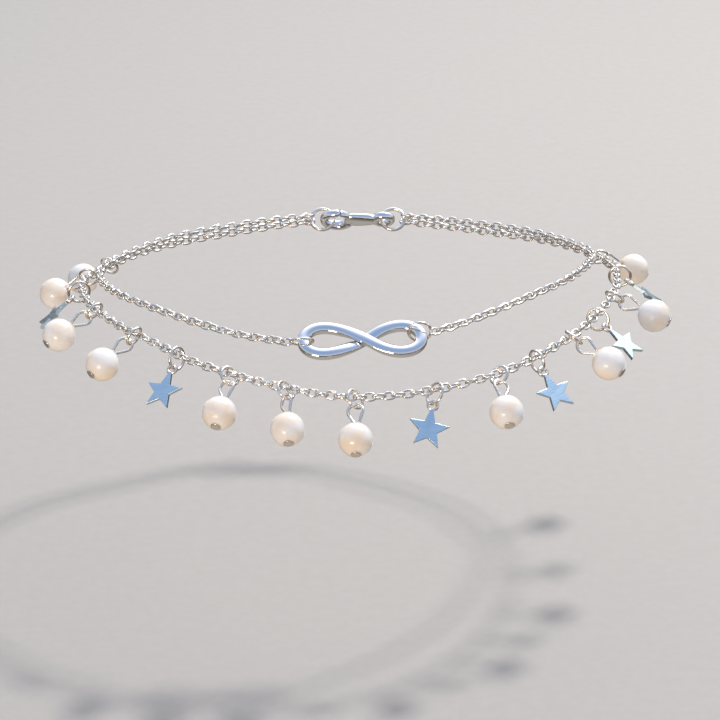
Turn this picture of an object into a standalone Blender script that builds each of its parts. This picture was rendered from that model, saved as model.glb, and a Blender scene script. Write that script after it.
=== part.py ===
"""Charm bracelet: two fine silver strands on one clasp, an infinity connector, pearls and stars.

Frame: +Z up along the wrist's axis, -Y to the front with the connector, the clasp at +Y.
The bracelet keeps the oval drape in which it is worn. The drape is an ellipsoid that isn't
built: strands, connector and charms are placed on it by azimuth and height.
"""
import math
from collections import namedtuple

import bmesh
import bpy
import numpy as np
from mathutils import Matrix, Vector

MM = 0.001

# Drape: half sizes of the oval on which the bracelet lies
FORM_HALF_WIDTH = 41.2 * MM
FORM_HALF_DEPTH = 33.0 * MM
FORM_HALF_HEIGHT = 19.6 * MM

# Strands of fine cable chain, each as a plain round
CHAIN_DIAMETER = 1.0 * MM
CHAIN_STAND_OFF = 0.6 * MM
LOWER_POINTS = 42
UPPER_POINTS = 19
ROUTE_STEPS = 24

# Infinity connector: a domed band that passes over itself in the middle
INFINITY_LENGTH = 15.1 * MM
INFINITY_HEIGHT = 5.25 * MM
BAND_WIDTH = 1.38 * MM
BAND_THICKNESS = 1.05 * MM
BAND_CROSSING_THICKNESS = 0.64 * MM
BAND_GAP = 0.1 * MM
BAND_CROSSING_REACH = 2.0 * MM
INFINITY_FULLNESS = 0.4
INFINITY_STAND_OFF = 0.95 * MM
INFINITY_AZIMUTH = 0.6
INFINITY_HEIGHT_SHARE = 0.779
INFINITY_ROLL = 2.0
INFINITY_STATIONS = 56
TURN_STEP = 0.01

# The band's D-shaped section, as shares of its width across and of its thickness up
BAND_SECTION = [
    (-0.44, -0.5), (0.44, -0.5), (0.5, -0.4), (0.5, 0.2), (0.4, 0.4),
    (0.16, 0.5), (-0.16, 0.5), (-0.4, 0.4), (-0.5, 0.2), (-0.5, -0.4),
]

# The connector's rings: turn of the centre line at which each one grips the band, how far it is
# drawn outward from there, and its tilt
RingSeat = namedtuple("RingSeat", "turn offset tilt")
CONNECTOR_RINGS = {"left": RingSeat(270.0, 0.19 * MM, 24.0), "right": RingSeat(101.8, 0.1 * MM, -14.0)}

# Round jump rings: small ones for the pearls, large ones for the stars and the connector
PEARL_RING_DIAMETER = 2.6 * MM
LARGE_RING_DIAMETER = 2.95 * MM
RING_WIRE = 0.33 * MM
RING_SEAT = 0.1 * MM
RING_POINTS = 12

# Rings at the clasp
END_RING_DIAMETER = 3.5 * MM
END_RING_WIRE = 0.45 * MM
END_SPREAD = 0.75 * MM
END_RING_OFFSET = 0.15 * MM

# Pearls and the headpins that carry them
PEARL_DIAMETER = 4.0 * MM
PEARL_STAND_OFF = 2.5 * MM
PIN_WIRE = 0.34 * MM
BORE_CLEARANCE = 0.1 * MM
PEARL_SIDES = 16
PEARL_ARC_POINTS = 9
PIN_HEAD_DIAMETER = 1.2 * MM
PIN_HEAD_THICKNESS = 0.16 * MM
PIN_HEAD_CLEARANCE = 0.02 * MM
FLAT_MARGIN = 0.07 * MM
LOOP_WIDTH = 2.15 * MM
LOOP_LENGTH = 2.8 * MM
LOOP_CLEARANCE = 0.08 * MM
LOOP_TIP_HEIGHT = 0.12 * MM
LOOP_POINTS = 11

# Flat stars with an eye on the top point
STAR_RADIUS = 2.49 * MM
STAR_INNER_SHARE = 0.43
STAR_THICKNESS = 0.4 * MM
STAR_STAND_OFF = 0.6 * MM
STAR_EYE_DIAMETER = 1.36 * MM
STAR_EYE_HOLE = 0.76 * MM
STAR_EYE_HEIGHT = 2.95 * MM
STAR_NECK_WIDTH = 0.34 * MM
STAR_EYE_CLEARANCE = 0.06 * MM
STAR_EYE_POINTS = 11
STAR_HOLE_POINTS = 10

# Clasp: one plain piece with a wide claw end and a narrow tail end, each with an eye
CLASP_LENGTH = 10.0 * MM
CLASP_CLAW_DIAMETER = 4.6 * MM
CLASP_CLAW_BAR = 1.05 * MM
CLASP_TAIL_DIAMETER = 3.1 * MM
CLASP_TAIL_BAR = 0.8 * MM
CLASP_THICKNESS = 1.6 * MM
CLASP_BEVEL = 0.4 * MM
CLASP_STAND_OFF = 1.2 * MM
CLASP_AZIMUTH = 180.0
CLASP_HEIGHT_SHARE = 0.51
CLASP_CLAW_POINTS = 14
CLASP_TAIL_POINTS = 9
CLASP_CLAW_HOLE_POINTS = 12
CLASP_TAIL_HOLE_POINTS = 10

# Space kept between pieces that meet
GAP = 0.3 * MM

# Routes of the strands: azimuth in degrees from the front, height as a share of the drape's
LOWER_ROUTE = [
    (-155, 0.49), (-132, 0.50), (-108, 0.53), (-92, 0.588), (-76, 0.63), (-60, 0.645), (-48, 0.645),
    (-35, 0.617), (-20, 0.583), (-8, 0.552), (2, 0.541), (15, 0.561), (30, 0.60), (45, 0.645),
    (60, 0.675), (80, 0.683), (97, 0.66), (113, 0.605), (135, 0.54), (155, 0.495),
]
UPPER_LEFT_ROUTE = [
    (-29, 0.752), (-43, 0.758), (-60, 0.749), (-75, 0.718), (-89, 0.676), (-99, 0.64),
    (-112, 0.608), (-135, 0.577), (-155, 0.565),
]
UPPER_RIGHT_ROUTE = [
    (27, 0.80), (43, 0.822), (59, 0.825), (69, 0.815), (80, 0.798), (94, 0.762), (108, 0.70),
    (119, 0.665), (138, 0.61), (155, 0.575),
]

# Charms along the lower strand, from rear left to rear right. Lean is the charm's swing along
# the strand, twist turns the ring and turn turns the charm about the line on which it hangs.
Charm = namedtuple("Charm", "kind azimuth lean twist turn")
CHARMS = [
    Charm("pearl", -118.0, -6.0, 20.0, -50.0),
    Charm("pearl", -108.5, 6.0, 24.0, -44.0),
    Charm("star", -95.0, 0.0, 14.0, 0.0),
    Charm("pearl", -75.5, 12.0, 36.0, -50.0),
    Charm("pearl", -54.6, 6.0, 24.0, -60.0),
    Charm("star", -40.0, 13.0, -6.0, 0.0),
    Charm("pearl", -26.2, 16.0, -46.0, 72.0),
    Charm("pearl", -14.2, 24.0, -46.0, 44.0),
    Charm("pearl", -0.9, 4.0, -46.0, 72.0),
    Charm("star", 14.4, -21.0, 32.0, 0.0),
    Charm("pearl", 28.2, -24.0, 46.0, -74.0),
    Charm("star", 38.0, -4.0, 0.0, 0.0),
    Charm("pearl", 51.2, -3.0, -46.0, 38.0),
    Charm("star", 63.8, -3.0, 14.0, 0.0),
    Charm("pearl", 79.0, -8.0, -46.0, 28.0),
    Charm("star", 98.0, 0.0, -10.0, 0.0),
    Charm("pearl", 118.0, -6.0, -40.0, 30.0),
]

CHAIN_RADIUS = CHAIN_DIAMETER / 2
RING_WIRE_RADIUS = RING_WIRE / 2
PEARL_RING_RADIUS = (PEARL_RING_DIAMETER - RING_WIRE) / 2
LARGE_RING_RADIUS = (LARGE_RING_DIAMETER - RING_WIRE) / 2
PIN_WIRE_RADIUS = PIN_WIRE / 2
PEARL_RADIUS = PEARL_DIAMETER / 2
PEARL_FLAT_RADIUS = PIN_HEAD_DIAMETER / 2 + FLAT_MARGIN
PEARL_FLAT_HEIGHT = math.sqrt(PEARL_RADIUS ** 2 - PEARL_FLAT_RADIUS ** 2)

# Distances below the strand's axis at which the parts of a charm hang
RING_HOLD = RING_WIRE_RADIUS + CHAIN_RADIUS + RING_SEAT
PEARL_RING_FOOT = 2 * PEARL_RING_RADIUS - RING_HOLD
LARGE_RING_FOOT = 2 * LARGE_RING_RADIUS - RING_HOLD
LOOP_TOP = PEARL_RING_FOOT - RING_WIRE_RADIUS - PIN_WIRE_RADIUS - LOOP_CLEARANCE
PEARL_DROP = LOOP_TOP - PIN_WIRE_RADIUS + LOOP_LENGTH + PEARL_RADIUS
STAR_EYE_DROP = LARGE_RING_FOOT - RING_WIRE_RADIUS - STAR_EYE_CLEARANCE + STAR_EYE_HOLE / 2
STAR_DROP = STAR_EYE_DROP + STAR_EYE_HEIGHT

CLASP_CENTRES = CLASP_LENGTH - CLASP_CLAW_DIAMETER / 2 - CLASP_TAIL_DIAMETER / 2
END_RING_RADIUS = (END_RING_DIAMETER - END_RING_WIRE) / 2


def clear_scene():
    """Remove every object that the file opened with."""
    for old in list(bpy.data.objects):
        bpy.data.objects.remove(old, do_unlink=True)


def finish(name, colour, metallic, roughness):
    """A plain material with the piece's colour."""
    material = bpy.data.materials.new(name)
    material.use_nodes = True
    shader = material.node_tree.nodes["Principled BSDF"]
    shader.inputs["Base Color"].default_value = (*colour, 1.0)
    shader.inputs["Metallic"].default_value = metallic
    shader.inputs["Roughness"].default_value = roughness
    return material


def on_form(azimuth, height_share, stand_off):
    """Point at an azimuth in degrees and a height share, a distance off the drape."""
    turn = math.radians(azimuth)
    height = height_share * FORM_HALF_HEIGHT
    ring = math.sqrt(1 - (height / (FORM_HALF_HEIGHT + stand_off)) ** 2)
    return Vector((
        (FORM_HALF_WIDTH + stand_off) * ring * math.sin(turn),
        -(FORM_HALF_DEPTH + stand_off) * ring * math.cos(turn),
        height,
    ))


def laid(point, stand_off):
    """The point moved towards or away from the drape's centre until it stands off it."""
    level = math.sqrt(
        (point.x / (FORM_HALF_WIDTH + stand_off)) ** 2
        + (point.y / (FORM_HALF_DEPTH + stand_off)) ** 2
        + (point.z / (FORM_HALF_HEIGHT + stand_off)) ** 2
    )
    return point / level


def form_normal(point):
    """Outward direction of the drape at a point on it."""
    return Vector((
        point.x / FORM_HALF_WIDTH ** 2,
        point.y / FORM_HALF_DEPTH ** 2,
        point.z / FORM_HALF_HEIGHT ** 2,
    )).normalized()


def frame_matrix(origin, x_axis, y_axis, z_axis):
    """Placement with the given axes as its columns."""
    turned = Matrix((x_axis, y_axis, z_axis)).transposed().to_4x4()
    return Matrix.Translation(origin) @ turned


def form_frame(azimuth, height_share, stand_off, roll):
    """Placement on the drape: X to the right, Y uphill, Z outward."""
    origin = on_form(azimuth, height_share, stand_off)
    outward = form_normal(origin)
    right = Vector((0, 0, 1)).cross(outward).normalized()
    placed = frame_matrix(origin, right, outward.cross(right), outward)
    return placed @ Matrix.Rotation(math.radians(roll), 4, "Z")


def smooth_route(points, count):
    """Even points along a Catmull-Rom curve through the chosen points."""
    chosen = np.array([tuple(point) for point in points])
    padded = np.vstack([2 * chosen[0] - chosen[1], chosen, 2 * chosen[-1] - chosen[-2]])
    steps = np.linspace(0, 1, ROUTE_STEPS, endpoint=False)[:, None]
    fine = []
    for before, start, end, after in zip(padded, padded[1:], padded[2:], padded[3:]):
        fine.append(0.5 * (
            2 * start + (end - before) * steps
            + (2 * before - 5 * start + 4 * end - after) * steps ** 2
            + (3 * start - before - 3 * end + after) * steps ** 3
        ))
    fine = np.vstack(fine + [chosen[-1:]])
    travelled = np.concatenate([[0], np.cumsum(np.linalg.norm(np.diff(fine, axis=0), axis=1))])
    wanted = np.linspace(0, travelled[-1], count)
    return [Vector([np.interp(d, travelled, fine[:, axis]) for axis in range(3)]) for d in wanted]


def azimuth_of(point):
    """Azimuth of a point in degrees, measured as on_form takes it."""
    return math.degrees(math.atan2(point[0] / FORM_HALF_WIDTH, -point[1] / FORM_HALF_DEPTH))


def add_object(name, data, material, placed=None):
    """Put a mesh or curve in the scene under a name."""
    piece = bpy.data.objects.new(name, data)
    bpy.context.scene.collection.objects.link(piece)
    if not data.materials:
        data.materials.append(material)
    if placed is not None:
        piece.matrix_world = placed
    return piece


def finish_mesh(body, name):
    """Turn a bmesh into a shaded mesh with its faces out."""
    bmesh.ops.recalc_face_normals(body, faces=body.faces)
    mesh = bpy.data.meshes.new(name)
    body.to_mesh(mesh)
    body.free()
    mesh.shade_smooth()
    mesh.set_sharp_from_angle(angle=math.radians(40))
    return mesh


def wire_curve(name, points, radius, closed=False, resolution=1, swell=None):
    """Round wire along points, with filled ends where it is open."""
    curve = bpy.data.curves.new(name, "CURVE")
    curve.dimensions = "3D"
    curve.bevel_depth = radius
    curve.bevel_resolution = resolution
    curve.use_fill_caps = not closed
    spline = curve.splines.new("POLY")
    spline.points.add(len(points) - 1)
    for index, point in enumerate(points):
        spline.points[index].co = (*point, 1.0)
        spline.points[index].radius = 1.0 if swell is None else swell[index]
    spline.use_cyclic_u = closed
    spline.use_smooth = True
    return curve


def circle_points(radius, count, centre=(0.0, 0.0), start=0.0, sweep=360.0):
    """Points on an arc as (x, y) pairs; a full circle leaves out its last point."""
    steps = count if sweep == 360.0 else count - 1
    turns = [math.radians(start + sweep * index / steps) for index in range(count)]
    return [(centre[0] + radius * math.cos(t), centre[1] + radius * math.sin(t)) for t in turns]


def ring_curve(name, radius, wire_radius):
    """Round ring in its local XZ plane."""
    points = [(x, 0.0, z) for x, z in circle_points(radius, RING_POINTS)]
    return wire_curve(name, points, wire_radius, closed=True)


def plate_mesh(name, outline, holes, thickness):
    """Flat plate in the local XY plane, centred on it, with its holes cut through."""
    body = bmesh.new()
    for loop in [outline] + holes:
        verts = [body.verts.new((x, y, -thickness / 2)) for x, y in loop]
        for first, second in zip(verts, verts[1:] + verts[:1]):
            body.edges.new((first, second))
    bmesh.ops.triangle_fill(body, use_beauty=True, edges=body.edges[:])
    raised = bmesh.ops.extrude_face_region(body, geom=body.faces[:])
    lifted = [item for item in raised["geom"] if isinstance(item, bmesh.types.BMVert)]
    bmesh.ops.translate(body, vec=(0, 0, thickness), verts=lifted)
    return finish_mesh(body, name)


def infinity_centre_line(turn):
    """Point of the band's centre line at a turn in radians, in the connector's plane."""
    half_length = (INFINITY_LENGTH - BAND_WIDTH) / 2
    half_height = (INFINITY_HEIGHT - BAND_WIDTH) / 2
    peak = math.sqrt(1 / (4 * (1 + INFINITY_FULLNESS)))
    spread = 1 + INFINITY_FULLNESS * math.cos(turn) ** 2
    x = half_length * math.sin(turn) / spread
    y = -half_height * math.sin(turn) * math.cos(turn) / spread / peak
    return Vector((x, y, 0.0))


def infinity_mesh():
    """Domed band swept along a figure of eight, thinner where it passes over itself."""
    rise = (BAND_CROSSING_THICKNESS + BAND_GAP) / 2
    body = bmesh.new()
    loops = []
    for index in range(INFINITY_STATIONS):
        turn = math.tau * index / INFINITY_STATIONS
        centre = infinity_centre_line(turn)
        ahead = infinity_centre_line(turn + TURN_STEP) - infinity_centre_line(turn - TURN_STEP)
        ahead.normalize()
        side = Vector((-ahead.y, ahead.x, 0.0))
        near = math.exp(-(centre.x / BAND_CROSSING_REACH) ** 2)
        thickness = BAND_THICKNESS + (BAND_CROSSING_THICKNESS - BAND_THICKNESS) * near
        centre.z = rise * near * (1 if math.cos(turn) > 0 else -1)
        loops.append([
            body.verts.new(centre + side * (across * BAND_WIDTH) + Vector((0, 0, up * thickness)))
            for across, up in BAND_SECTION
        ])
    for loop, following in zip(loops, loops[1:] + loops[:1]):
        for index in range(len(BAND_SECTION)):
            after = (index + 1) % len(BAND_SECTION)
            body.faces.new((loop[index], loop[after], following[after], following[index]))
    return finish_mesh(body, "infinity")


def pearl_mesh():
    """Round bead with a bore along its local Z axis and a flat round each end of the bore."""
    bore = PIN_WIRE_RADIUS + BORE_CLEARANCE
    edge = math.degrees(math.acos(PEARL_FLAT_RADIUS / PEARL_RADIUS))
    profile = circle_points(PEARL_RADIUS, PEARL_ARC_POINTS, start=-edge, sweep=2 * edge)
    profile += [(bore, PEARL_FLAT_HEIGHT), (bore, -PEARL_FLAT_HEIGHT)]
    body = bmesh.new()
    verts = [body.verts.new((x, 0.0, z)) for x, z in profile]
    edges = [body.edges.new(pair) for pair in zip(verts, verts[1:] + verts[:1])]
    bmesh.ops.spin(
        body, geom=verts + edges, cent=(0, 0, 0), axis=(0, 0, 1), angle=math.tau,
        steps=PEARL_SIDES, use_merge=True,
    )
    return finish_mesh(body, "pearl")


def pin_curve():
    """Headpin in its local XZ plane: disc, stem through the bore, and a teardrop loop on top."""
    head = PIN_HEAD_DIAMETER / PIN_WIRE
    floor = -PEARL_FLAT_HEIGHT - PIN_HEAD_CLEARANCE - PIN_HEAD_THICKNESS
    neck = PEARL_FLAT_HEIGHT + LOOP_CLEARANCE
    loop_radius = (LOOP_WIDTH - PIN_WIRE) / 2
    loop_middle = PEARL_DROP - LOOP_TOP - loop_radius
    lean = math.degrees(math.asin(loop_radius / (loop_middle - neck)))
    arc = circle_points(
        loop_radius, LOOP_POINTS, (0.0, loop_middle), start=180 + lean, sweep=-180 - 2 * lean
    )
    tip = (PIN_WIRE + LOOP_CLEARANCE, neck + LOOP_TIP_HEIGHT)
    top = floor + PIN_HEAD_THICKNESS
    route = [(0, floor), (0, top), (0, top + PIN_HEAD_CLEARANCE / 4), (0, neck)] + arc + [tip]
    swell = [head, head] + [1.0] * (len(route) - 2)
    points = [(x, 0.0, z) for x, z in route]
    return wire_curve("pin", points, PIN_WIRE_RADIUS, swell=swell)


def star_mesh():
    """Flat star, top point towards local +Y, drawn out into a neck and a pierced eye."""
    corners = []
    for index in range(10):
        reach = STAR_RADIUS * (1 if index % 2 == 0 else STAR_INNER_SHARE)
        turn = math.radians(90 + 36 * index)
        corners.append((reach * math.cos(turn), reach * math.sin(turn)))
    half_neck = STAR_NECK_WIDTH / 2
    eye_radius = STAR_EYE_DIAMETER / 2
    open_turn = math.degrees(math.asin(half_neck / eye_radius))
    eye = circle_points(
        eye_radius, STAR_EYE_POINTS, (0.0, STAR_EYE_HEIGHT),
        start=-90 + open_turn, sweep=360 - 2 * open_turn,
    )
    hole = circle_points(STAR_EYE_HOLE / 2, STAR_HOLE_POINTS, (0.0, STAR_EYE_HEIGHT))
    return plate_mesh("star", corners[1:] + eye, [hole], STAR_THICKNESS)


def clasp_mesh():
    """Pear-shaped plate along local X, its wide claw end towards +X, an eye at each end."""
    claw_radius = CLASP_CLAW_DIAMETER / 2
    tail_radius = CLASP_TAIL_DIAMETER / 2
    claw = (CLASP_CENTRES / 2, 0.0)
    tail = (-CLASP_CENTRES / 2, 0.0)
    slope = math.degrees(math.acos((claw_radius - tail_radius) / CLASP_CENTRES))
    outline = circle_points(
        claw_radius, CLASP_CLAW_POINTS, claw, start=slope - 180, sweep=360 - 2 * slope
    )
    outline += circle_points(
        tail_radius, CLASP_TAIL_POINTS, tail, start=180 - slope, sweep=2 * slope
    )
    holes = [
        circle_points(claw_radius - CLASP_CLAW_BAR, CLASP_CLAW_HOLE_POINTS, claw),
        circle_points(tail_radius - CLASP_TAIL_BAR, CLASP_TAIL_HOLE_POINTS, tail),
    ]
    return plate_mesh("clasp", outline, holes, CLASP_THICKNESS)


def build_infinity(material):
    """The connector and its two rings; returns where the upper strands start."""
    placed = form_frame(
        INFINITY_AZIMUTH, INFINITY_HEIGHT_SHARE, INFINITY_STAND_OFF, INFINITY_ROLL
    )
    add_object("infinity", infinity_mesh(), material, placed)
    ring = ring_curve("connector_ring", LARGE_RING_RADIUS, RING_WIRE_RADIUS)
    starts = {}
    for side, seat in CONNECTOR_RINGS.items():
        outward = Vector((-1 if side == "left" else 1, 0, 0))
        centre = infinity_centre_line(math.radians(seat.turn)) + seat.offset * outward
        turned = Matrix.Rotation(math.radians(seat.tilt), 4, "X")
        add_object(
            f"infinity_ring_{side}", ring, material, placed @ Matrix.Translation(centre) @ turned
        )
        starts[side] = placed @ (centre + (LARGE_RING_DIAMETER / 2 + GAP) * outward)
    return starts


def build_clasp(material):
    """The clasp and its two end rings; returns where each strand ends, by side and row."""
    placed = form_frame(CLASP_AZIMUTH, CLASP_HEIGHT_SHARE, CLASP_STAND_OFF, 0.0)
    clasp = add_object("clasp", clasp_mesh(), material, placed)
    rim = clasp.modifiers.new("rim", "BEVEL")
    rim.width = CLASP_BEVEL
    rim.segments = 2
    rim.limit_method = "ANGLE"
    rim.angle_limit = math.radians(50)
    ring = ring_curve("end_ring", END_RING_RADIUS, END_RING_WIRE / 2)
    claw_bar = CLASP_CENTRES / 2 + (CLASP_CLAW_DIAMETER - CLASP_CLAW_BAR) / 2
    tail_bar = CLASP_CENTRES / 2 + (CLASP_TAIL_DIAMETER - CLASP_TAIL_BAR) / 2
    ends = {}
    for side, sign, bar in (("left", 1, claw_bar), ("right", -1, tail_bar)):
        centre = sign * (bar + END_RING_OFFSET)
        add_object(f"end_ring_{side}", ring, material, placed @ Matrix.Translation((centre, 0, 0)))
        reach = centre + sign * (END_RING_DIAMETER / 2 + GAP)
        for row, lift in (("upper", END_SPREAD), ("lower", -END_SPREAD)):
            ends[side, row] = placed @ Vector((reach, lift, 0))
    return ends


def build_strands(starts, ends, material):
    """The three strands as plain rounds; returns the lower strand's points."""
    def route(stations):
        return [on_form(azimuth, share, CHAIN_STAND_OFF) for azimuth, share in stations]

    lower = [ends["left", "lower"]] + route(LOWER_ROUTE) + [ends["right", "lower"]]
    strands = {
        "strand_lower": (lower, LOWER_POINTS),
        "strand_upper_left": (
            [starts["left"]] + route(UPPER_LEFT_ROUTE) + [ends["left", "upper"]], UPPER_POINTS
        ),
        "strand_upper_right": (
            [starts["right"]] + route(UPPER_RIGHT_ROUTE) + [ends["right", "upper"]], UPPER_POINTS
        ),
    }
    for name, (points, count) in strands.items():
        tube = wire_curve(name, smooth_route(points, count), CHAIN_RADIUS, resolution=2)
        add_object(name, tube, material)
    return smooth_route(lower, LOWER_POINTS)


def charm_directions(strand, charm):
    """Where a charm hangs on the strand, the strand's direction, and the way it hangs."""
    turns = [azimuth_of(point) for point in strand]
    first = max(index for index, turn in enumerate(turns) if turn <= charm.azimuth)
    share = (charm.azimuth - turns[first]) / (turns[first + 1] - turns[first])
    hung = strand[first].lerp(strand[first + 1], share)
    along = (strand[first + 1] - strand[first]).normalized()
    downhill = along.cross(form_normal(hung)).normalized()
    if downhill.z > 0:
        downhill.negate()
    drop = PEARL_DROP if charm.kind == "pearl" else STAR_DROP
    stand_off = PEARL_STAND_OFF if charm.kind == "pearl" else STAR_STAND_OFF
    lean = math.radians(charm.lean)
    reached = hung + drop * (math.cos(lean) * downhill + math.sin(lean) * along)
    return hung, along, (laid(reached, stand_off) - hung).normalized()


def hanging_frame(hung, along, hang, drop, turn):
    """Placement with local Z up the hanging line and local Y turned away from the strand."""
    up = -hang
    across = (along - along.dot(up) * up).normalized()
    placed = frame_matrix(hung + hang * drop, up.cross(across) * -1, across, up)
    return placed @ Matrix.Rotation(math.radians(turn), 4, "Z")


def build_charms(strand, silver, satin, nacre):
    """Every charm with its ring, from rear left to rear right."""
    rings = {
        "pearl": (ring_curve("pearl_ring", PEARL_RING_RADIUS, RING_WIRE_RADIUS), PEARL_RING_RADIUS),
        "star": (ring_curve("star_ring", LARGE_RING_RADIUS, RING_WIRE_RADIUS), LARGE_RING_RADIUS),
    }
    pin = pin_curve()
    pearl = pearl_mesh()
    star = star_mesh()
    flat = Matrix.Rotation(math.radians(90), 4, "X") @ Matrix.Rotation(math.radians(180), 4, "Y")
    made = {"pearl": 0, "star": 0}
    for number, charm in enumerate(CHARMS, start=1):
        hung, along, hang = charm_directions(strand, charm)
        made[charm.kind] += 1
        mark = f"{made[charm.kind]:02d}"
        ring, radius = rings[charm.kind]
        add_object(
            f"charm_ring_{number:02d}", ring, silver,
            hanging_frame(hung, along, hang, radius - RING_HOLD, charm.twist),
        )
        if charm.kind == "pearl":
            placed = hanging_frame(hung, along, hang, PEARL_DROP, charm.turn)
            add_object(f"pearl_{mark}", pearl, nacre, placed)
            add_object(f"pin_{mark}", pin, silver, placed)
        else:
            placed = hanging_frame(hung, along, hang, STAR_DROP, 90 + charm.turn)
            add_object(f"star_{mark}", star, satin, placed @ flat)


def build():
    """Make the whole bracelet."""
    clear_scene()
    silver = finish("polished_silver", (0.86, 0.87, 0.88), 1.0, 0.12)
    satin = finish("satin_silver", (0.80, 0.83, 0.87), 1.0, 0.3)
    nacre = finish("nacre", (0.93, 0.87, 0.83), 0.0, 0.2)
    starts = build_infinity(silver)
    ends = build_clasp(silver)
    strand = build_strands(starts, ends, silver)
    build_charms(strand, silver, satin, nacre)


build()
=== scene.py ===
"""Charm bracelet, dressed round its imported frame: two chains, an infinity connector, pearls, stars.

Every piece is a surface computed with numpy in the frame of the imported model: +Z up along the
wrist's axis, -Y to the front, metres. Points lie on an oval drape that isn't built itself.
"""
import logging
import math
from collections.abc import Sequence
from dataclasses import dataclass, field
from enum import Enum

import bpy
import numpy as np
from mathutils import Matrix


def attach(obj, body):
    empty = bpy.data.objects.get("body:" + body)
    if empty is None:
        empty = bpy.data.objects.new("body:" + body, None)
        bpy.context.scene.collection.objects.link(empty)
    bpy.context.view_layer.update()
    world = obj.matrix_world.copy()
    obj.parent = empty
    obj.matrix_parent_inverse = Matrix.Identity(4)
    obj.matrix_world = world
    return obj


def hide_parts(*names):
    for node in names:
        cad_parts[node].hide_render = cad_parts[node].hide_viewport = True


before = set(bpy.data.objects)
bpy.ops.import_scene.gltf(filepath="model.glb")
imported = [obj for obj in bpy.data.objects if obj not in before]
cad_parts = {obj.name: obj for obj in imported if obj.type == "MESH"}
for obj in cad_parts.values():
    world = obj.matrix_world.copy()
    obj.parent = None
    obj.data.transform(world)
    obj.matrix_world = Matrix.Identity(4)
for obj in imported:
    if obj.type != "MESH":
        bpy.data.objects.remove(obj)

MM = 0.001
BODY = "root"
STEPS_BETWEEN = 24
log = logging.getLogger("bracelet")

Array = np.ndarray
Material = bpy.types.Material
Mesh = bpy.types.Mesh
Node = bpy.types.Node
Tree = bpy.types.NodeTree
Inputs = dict[str | int, object]


class Slot(Enum):
    """Names of the material slots."""

    POLISHED = "polished_silver"
    SATIN = "satin_silver"
    CHAIN = "silver_chain"
    PEARL = "pearl"


class CharmKind(Enum):
    """What hangs on a charm's ring."""

    PEARL = "pearl"
    STAR = "star"


# Vectors and placements


def unit(vectors: Array) -> Array:
    """Vectors of the last axis scaled to length 1."""
    return vectors / np.linalg.norm(vectors, axis=-1, keepdims=True)


def turn_about(axis: str, degrees: float) -> Array:
    """Rotation about a coordinate axis.

    Args:
        axis: "X", "Y" or "Z".
        degrees: Angle of the turn.

    Returns:
        A 4 x 4 matrix.
    """
    first, second = {"X": (1, 2), "Y": (2, 0), "Z": (0, 1)}[axis]
    cosine, sine = math.cos(math.radians(degrees)), math.sin(math.radians(degrees))
    matrix = np.eye(4)
    matrix[first, first] = matrix[second, second] = cosine
    matrix[first, second], matrix[second, first] = -sine, sine
    return matrix


def move(x: float, y: float, z: float) -> Array:
    """Translation as a 4 x 4 matrix."""
    return axes_at(np.array([x, y, z]), *np.eye(3))


def axes_at(origin: Array, x_axis: Array, y_axis: Array, z_axis: Array) -> Array:
    """Placement at an origin with the given axes as columns."""
    return np.vstack([np.column_stack([x_axis, y_axis, z_axis, origin]), [0, 0, 0, 1]])


def place(points: Array, matrix: Array) -> Array:
    """Points of the last axis moved by a 4 x 4 placement."""
    return points @ matrix[:3, :3].T + matrix[:3, 3]


@dataclass(frozen=True)
class Drape:
    """Oval on which the bracelet lies, with its half sizes."""

    width: float = 41.2 * MM
    depth: float = 33.0 * MM
    height: float = 19.6 * MM

    @property
    def halves(self) -> Array:
        """Half sizes along X, Y and Z."""
        return np.array([self.width, self.depth, self.height])

    def point(self, azimuth: float, share: float, stand_off: float) -> Array:
        """Point off the drape: an ellipse at a share of the height, grown by the stand-off.

        Args:
            azimuth: Degrees from the front.
            share: Height as a share of the drape's half height.
            stand_off: Distance off the drape.

        Returns:
            The point.
        """
        turn = math.radians(azimuth)
        level = share * self.height
        ring = math.sqrt(1 - (level / (self.height + stand_off)) ** 2)
        across = (self.width + stand_off) * ring * math.sin(turn)
        return np.array([across, -(self.depth + stand_off) * ring * math.cos(turn), level])

    def laid(self, point: Array, stand_off: float) -> Array:
        """Point drawn towards or from the centre until it lies on the grown drape."""
        return point / np.linalg.norm(point / (self.halves + stand_off))

    def normal(self, points: Array) -> Array:
        """Outward direction: each coordinate over its half size squared, scaled to length 1."""
        return unit(points / self.halves ** 2)

    def frame(self, azimuth: float, share: float, stand_off: float, roll: float) -> Array:
        """Placement on the drape: X to the right, Y uphill, Z outward, then rolled about Z.

        Args:
            azimuth: Degrees from the front.
            share: Height as a share of the drape's half height.
            stand_off: Distance off the drape.
            roll: Degrees about Z.

        Returns:
            A 4 x 4 matrix.
        """
        origin = self.point(azimuth, share, stand_off)
        outward = self.normal(origin)
        right = unit(np.cross([0.0, 0.0, 1.0], outward))
        return axes_at(origin, right, np.cross(outward, right), outward) @ turn_about("Z", roll)

    def azimuths(self, points: Array) -> Array:
        """Azimuths of points in degrees."""
        return np.degrees(np.arctan2(points[:, 0] / self.width, -points[:, 1] / self.depth))


def travelled(points: Array) -> Array:
    """Distance along a polyline from its first point to each point."""
    return np.concatenate([[0], np.cumsum(np.linalg.norm(np.diff(points, axis=0), axis=1))])


def even_points(points: Array, count: int) -> Array:
    """Points at even distances along a polyline.

    Args:
        points: Corners of the polyline.
        count: Number of even points.

    Returns:
        A row for each even point.
    """
    reached = travelled(points)
    wanted = np.linspace(0, reached[-1], count)
    return np.stack([np.interp(wanted, reached, values) for values in points.T], axis=1)


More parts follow.
